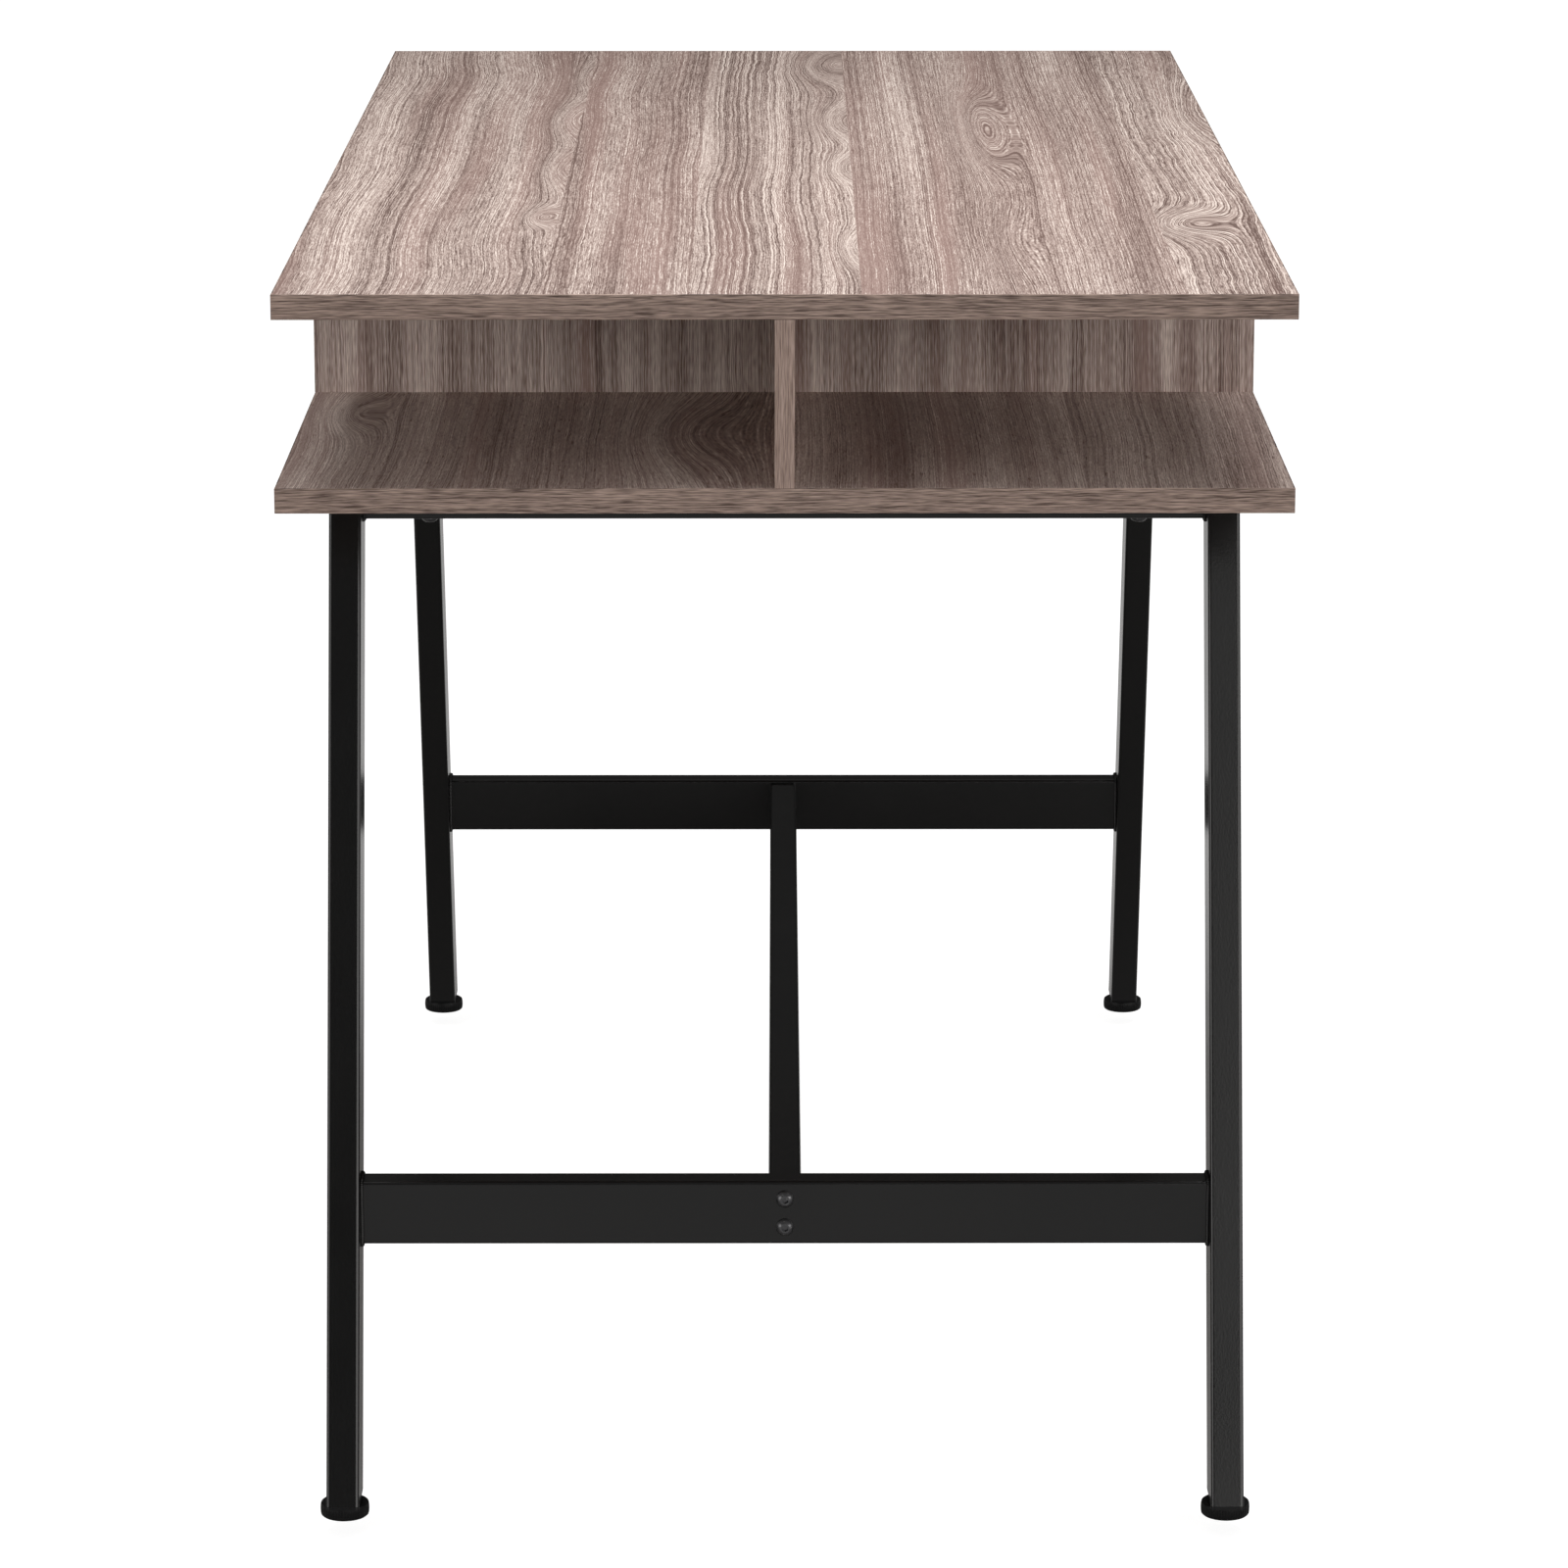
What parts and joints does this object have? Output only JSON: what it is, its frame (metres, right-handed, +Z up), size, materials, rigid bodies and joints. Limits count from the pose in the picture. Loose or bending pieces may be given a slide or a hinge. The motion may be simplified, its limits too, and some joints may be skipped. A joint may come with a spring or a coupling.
{
  "type": "desk",
  "caption": "Rectangular writing desk: grey-brown laminated top over an open shelf split into bays, on splayed black tube leg frames with crossbars, a stretcher and levelling feet.",
  "frame": {"origin": "on the floor under the middle of the top", "axes": "+X along the desk to its right-hand end, +Y away from the seated person, +Z up"},
  "size_m": [1.2, 0.6, 0.762],
  "materials": {
    "oak_laminate": "embossed oak-grain laminate, matt",
    "oak_edging": "oak-grain edging strip, matt",
    "beech_dowel": "plain fluted beech",
    "zinc_steel": "zinc plated",
    "black_bolts": "black oxide, satin",
    "black_plastic": "moulded black plastic",
    "black_powder_coat": "black powder coat, fine texture, satin"
  },
  "bodies": {
    "root": {"cam_bolts": "zinc_steel", "cam_locks": "zinc_steel", "divider_dowels": "beech_dowel", "divider_screws": "zinc_steel", "left_cross_panel": "oak_laminate", "left_cross_panel_bands": "oak_edging", "left_crossbar": "black_powder_coat", "left_divider": "oak_laminate", "left_divider_band": "oak_edging", "left_front_leg": "black_powder_coat", "left_front_leg_plug": "black_plastic", "left_rear_leg": "black_powder_coat", "left_rear_leg_plug": "black_plastic", "left_top_rail": "black_powder_coat", "left_welds": "black_powder_coat", "panel_dowels": "beech_dowel", "plug_nuts": "zinc_steel", "rail_bolts": "black_bolts", "right_cross_panel": "oak_laminate", "right_cross_panel_bands": "oak_edging", "right_crossbar": "black_powder_coat", "right_divider": "oak_laminate", "right_divider_band": "oak_edging", "right_front_leg": "black_powder_coat", "right_front_leg_plug": "black_plastic", "right_rear_leg": "black_powder_coat", "right_rear_leg_plug": "black_plastic", "right_top_rail": "black_powder_coat", "right_welds": "black_powder_coat", "shelf_edge_bands": "oak_edging", "shelf_inserts": "zinc_steel", "shelf_panel": "oak_laminate", "shelf_screws": "zinc_steel", "stretcher": "black_powder_coat", "stretcher_bolts": "black_bolts", "stretcher_end_plates": "black_powder_coat", "top_edge_bands": "oak_edging", "top_panel": "oak_laminate"},
    "right_front_stud": {"right_front_stud": "zinc_steel"},
    "right_front_disc": {"right_front_disc": "black_plastic"},
    "right_rear_stud": {"right_rear_stud": "zinc_steel"},
    "right_rear_disc": {"right_rear_disc": "black_plastic"},
    "left_front_stud": {"left_front_stud": "zinc_steel"},
    "left_front_disc": {"left_front_disc": "black_plastic"},
    "left_rear_stud": {"left_rear_stud": "zinc_steel"},
    "left_rear_disc": {"left_rear_disc": "black_plastic"}
  },
  "joints": [
    {"name": "right_front_foot_slide", "type": "slide", "parent": "root", "child": "right_front_stud", "axis": [0, 0, -1], "range_m": [0, 0.01]},
    {"name": "right_front_foot_turn", "type": "hinge", "parent": "right_front_stud", "child": "right_front_disc", "pos_m": [0.575, -0.271, 0], "axis": [0, 0, 1], "range_deg": [0, 2880]},
    {"name": "right_rear_foot_slide", "type": "slide", "parent": "root", "child": "right_rear_stud", "axis": [0, 0, -1], "range_m": [0, 0.01]},
    {"name": "right_rear_foot_turn", "type": "hinge", "parent": "right_rear_stud", "child": "right_rear_disc", "pos_m": [0.575, 0.271, 0], "axis": [0, 0, 1], "range_deg": [0, 2880]},
    {"name": "left_front_foot_slide", "type": "slide", "parent": "root", "child": "left_front_stud", "axis": [0, 0, -1], "range_m": [0, 0.01]},
    {"name": "left_front_foot_turn", "type": "hinge", "parent": "left_front_stud", "child": "left_front_disc", "pos_m": [-0.575, -0.271, 0], "axis": [0, 0, 1], "range_deg": [0, 2880]},
    {"name": "left_rear_foot_slide", "type": "slide", "parent": "root", "child": "left_rear_stud", "axis": [0, 0, -1], "range_m": [0, 0.01]},
    {"name": "left_rear_foot_turn", "type": "hinge", "parent": "left_rear_stud", "child": "left_rear_disc", "pos_m": [-0.575, 0.271, 0], "axis": [0, 0, 1], "range_deg": [0, 2880]}
  ],
  "couplings": [
    {"joint": "right_front_foot_slide", "follows": "right_front_foot_turn", "m_per_rad": 0.00019894},
    {"joint": "right_rear_foot_slide", "follows": "right_rear_foot_turn", "m_per_rad": 0.00019894},
    {"joint": "left_front_foot_slide", "follows": "left_front_foot_turn", "m_per_rad": 0.00019894},
    {"joint": "left_rear_foot_slide", "follows": "left_rear_foot_turn", "m_per_rad": 0.00019894}
  ]
}
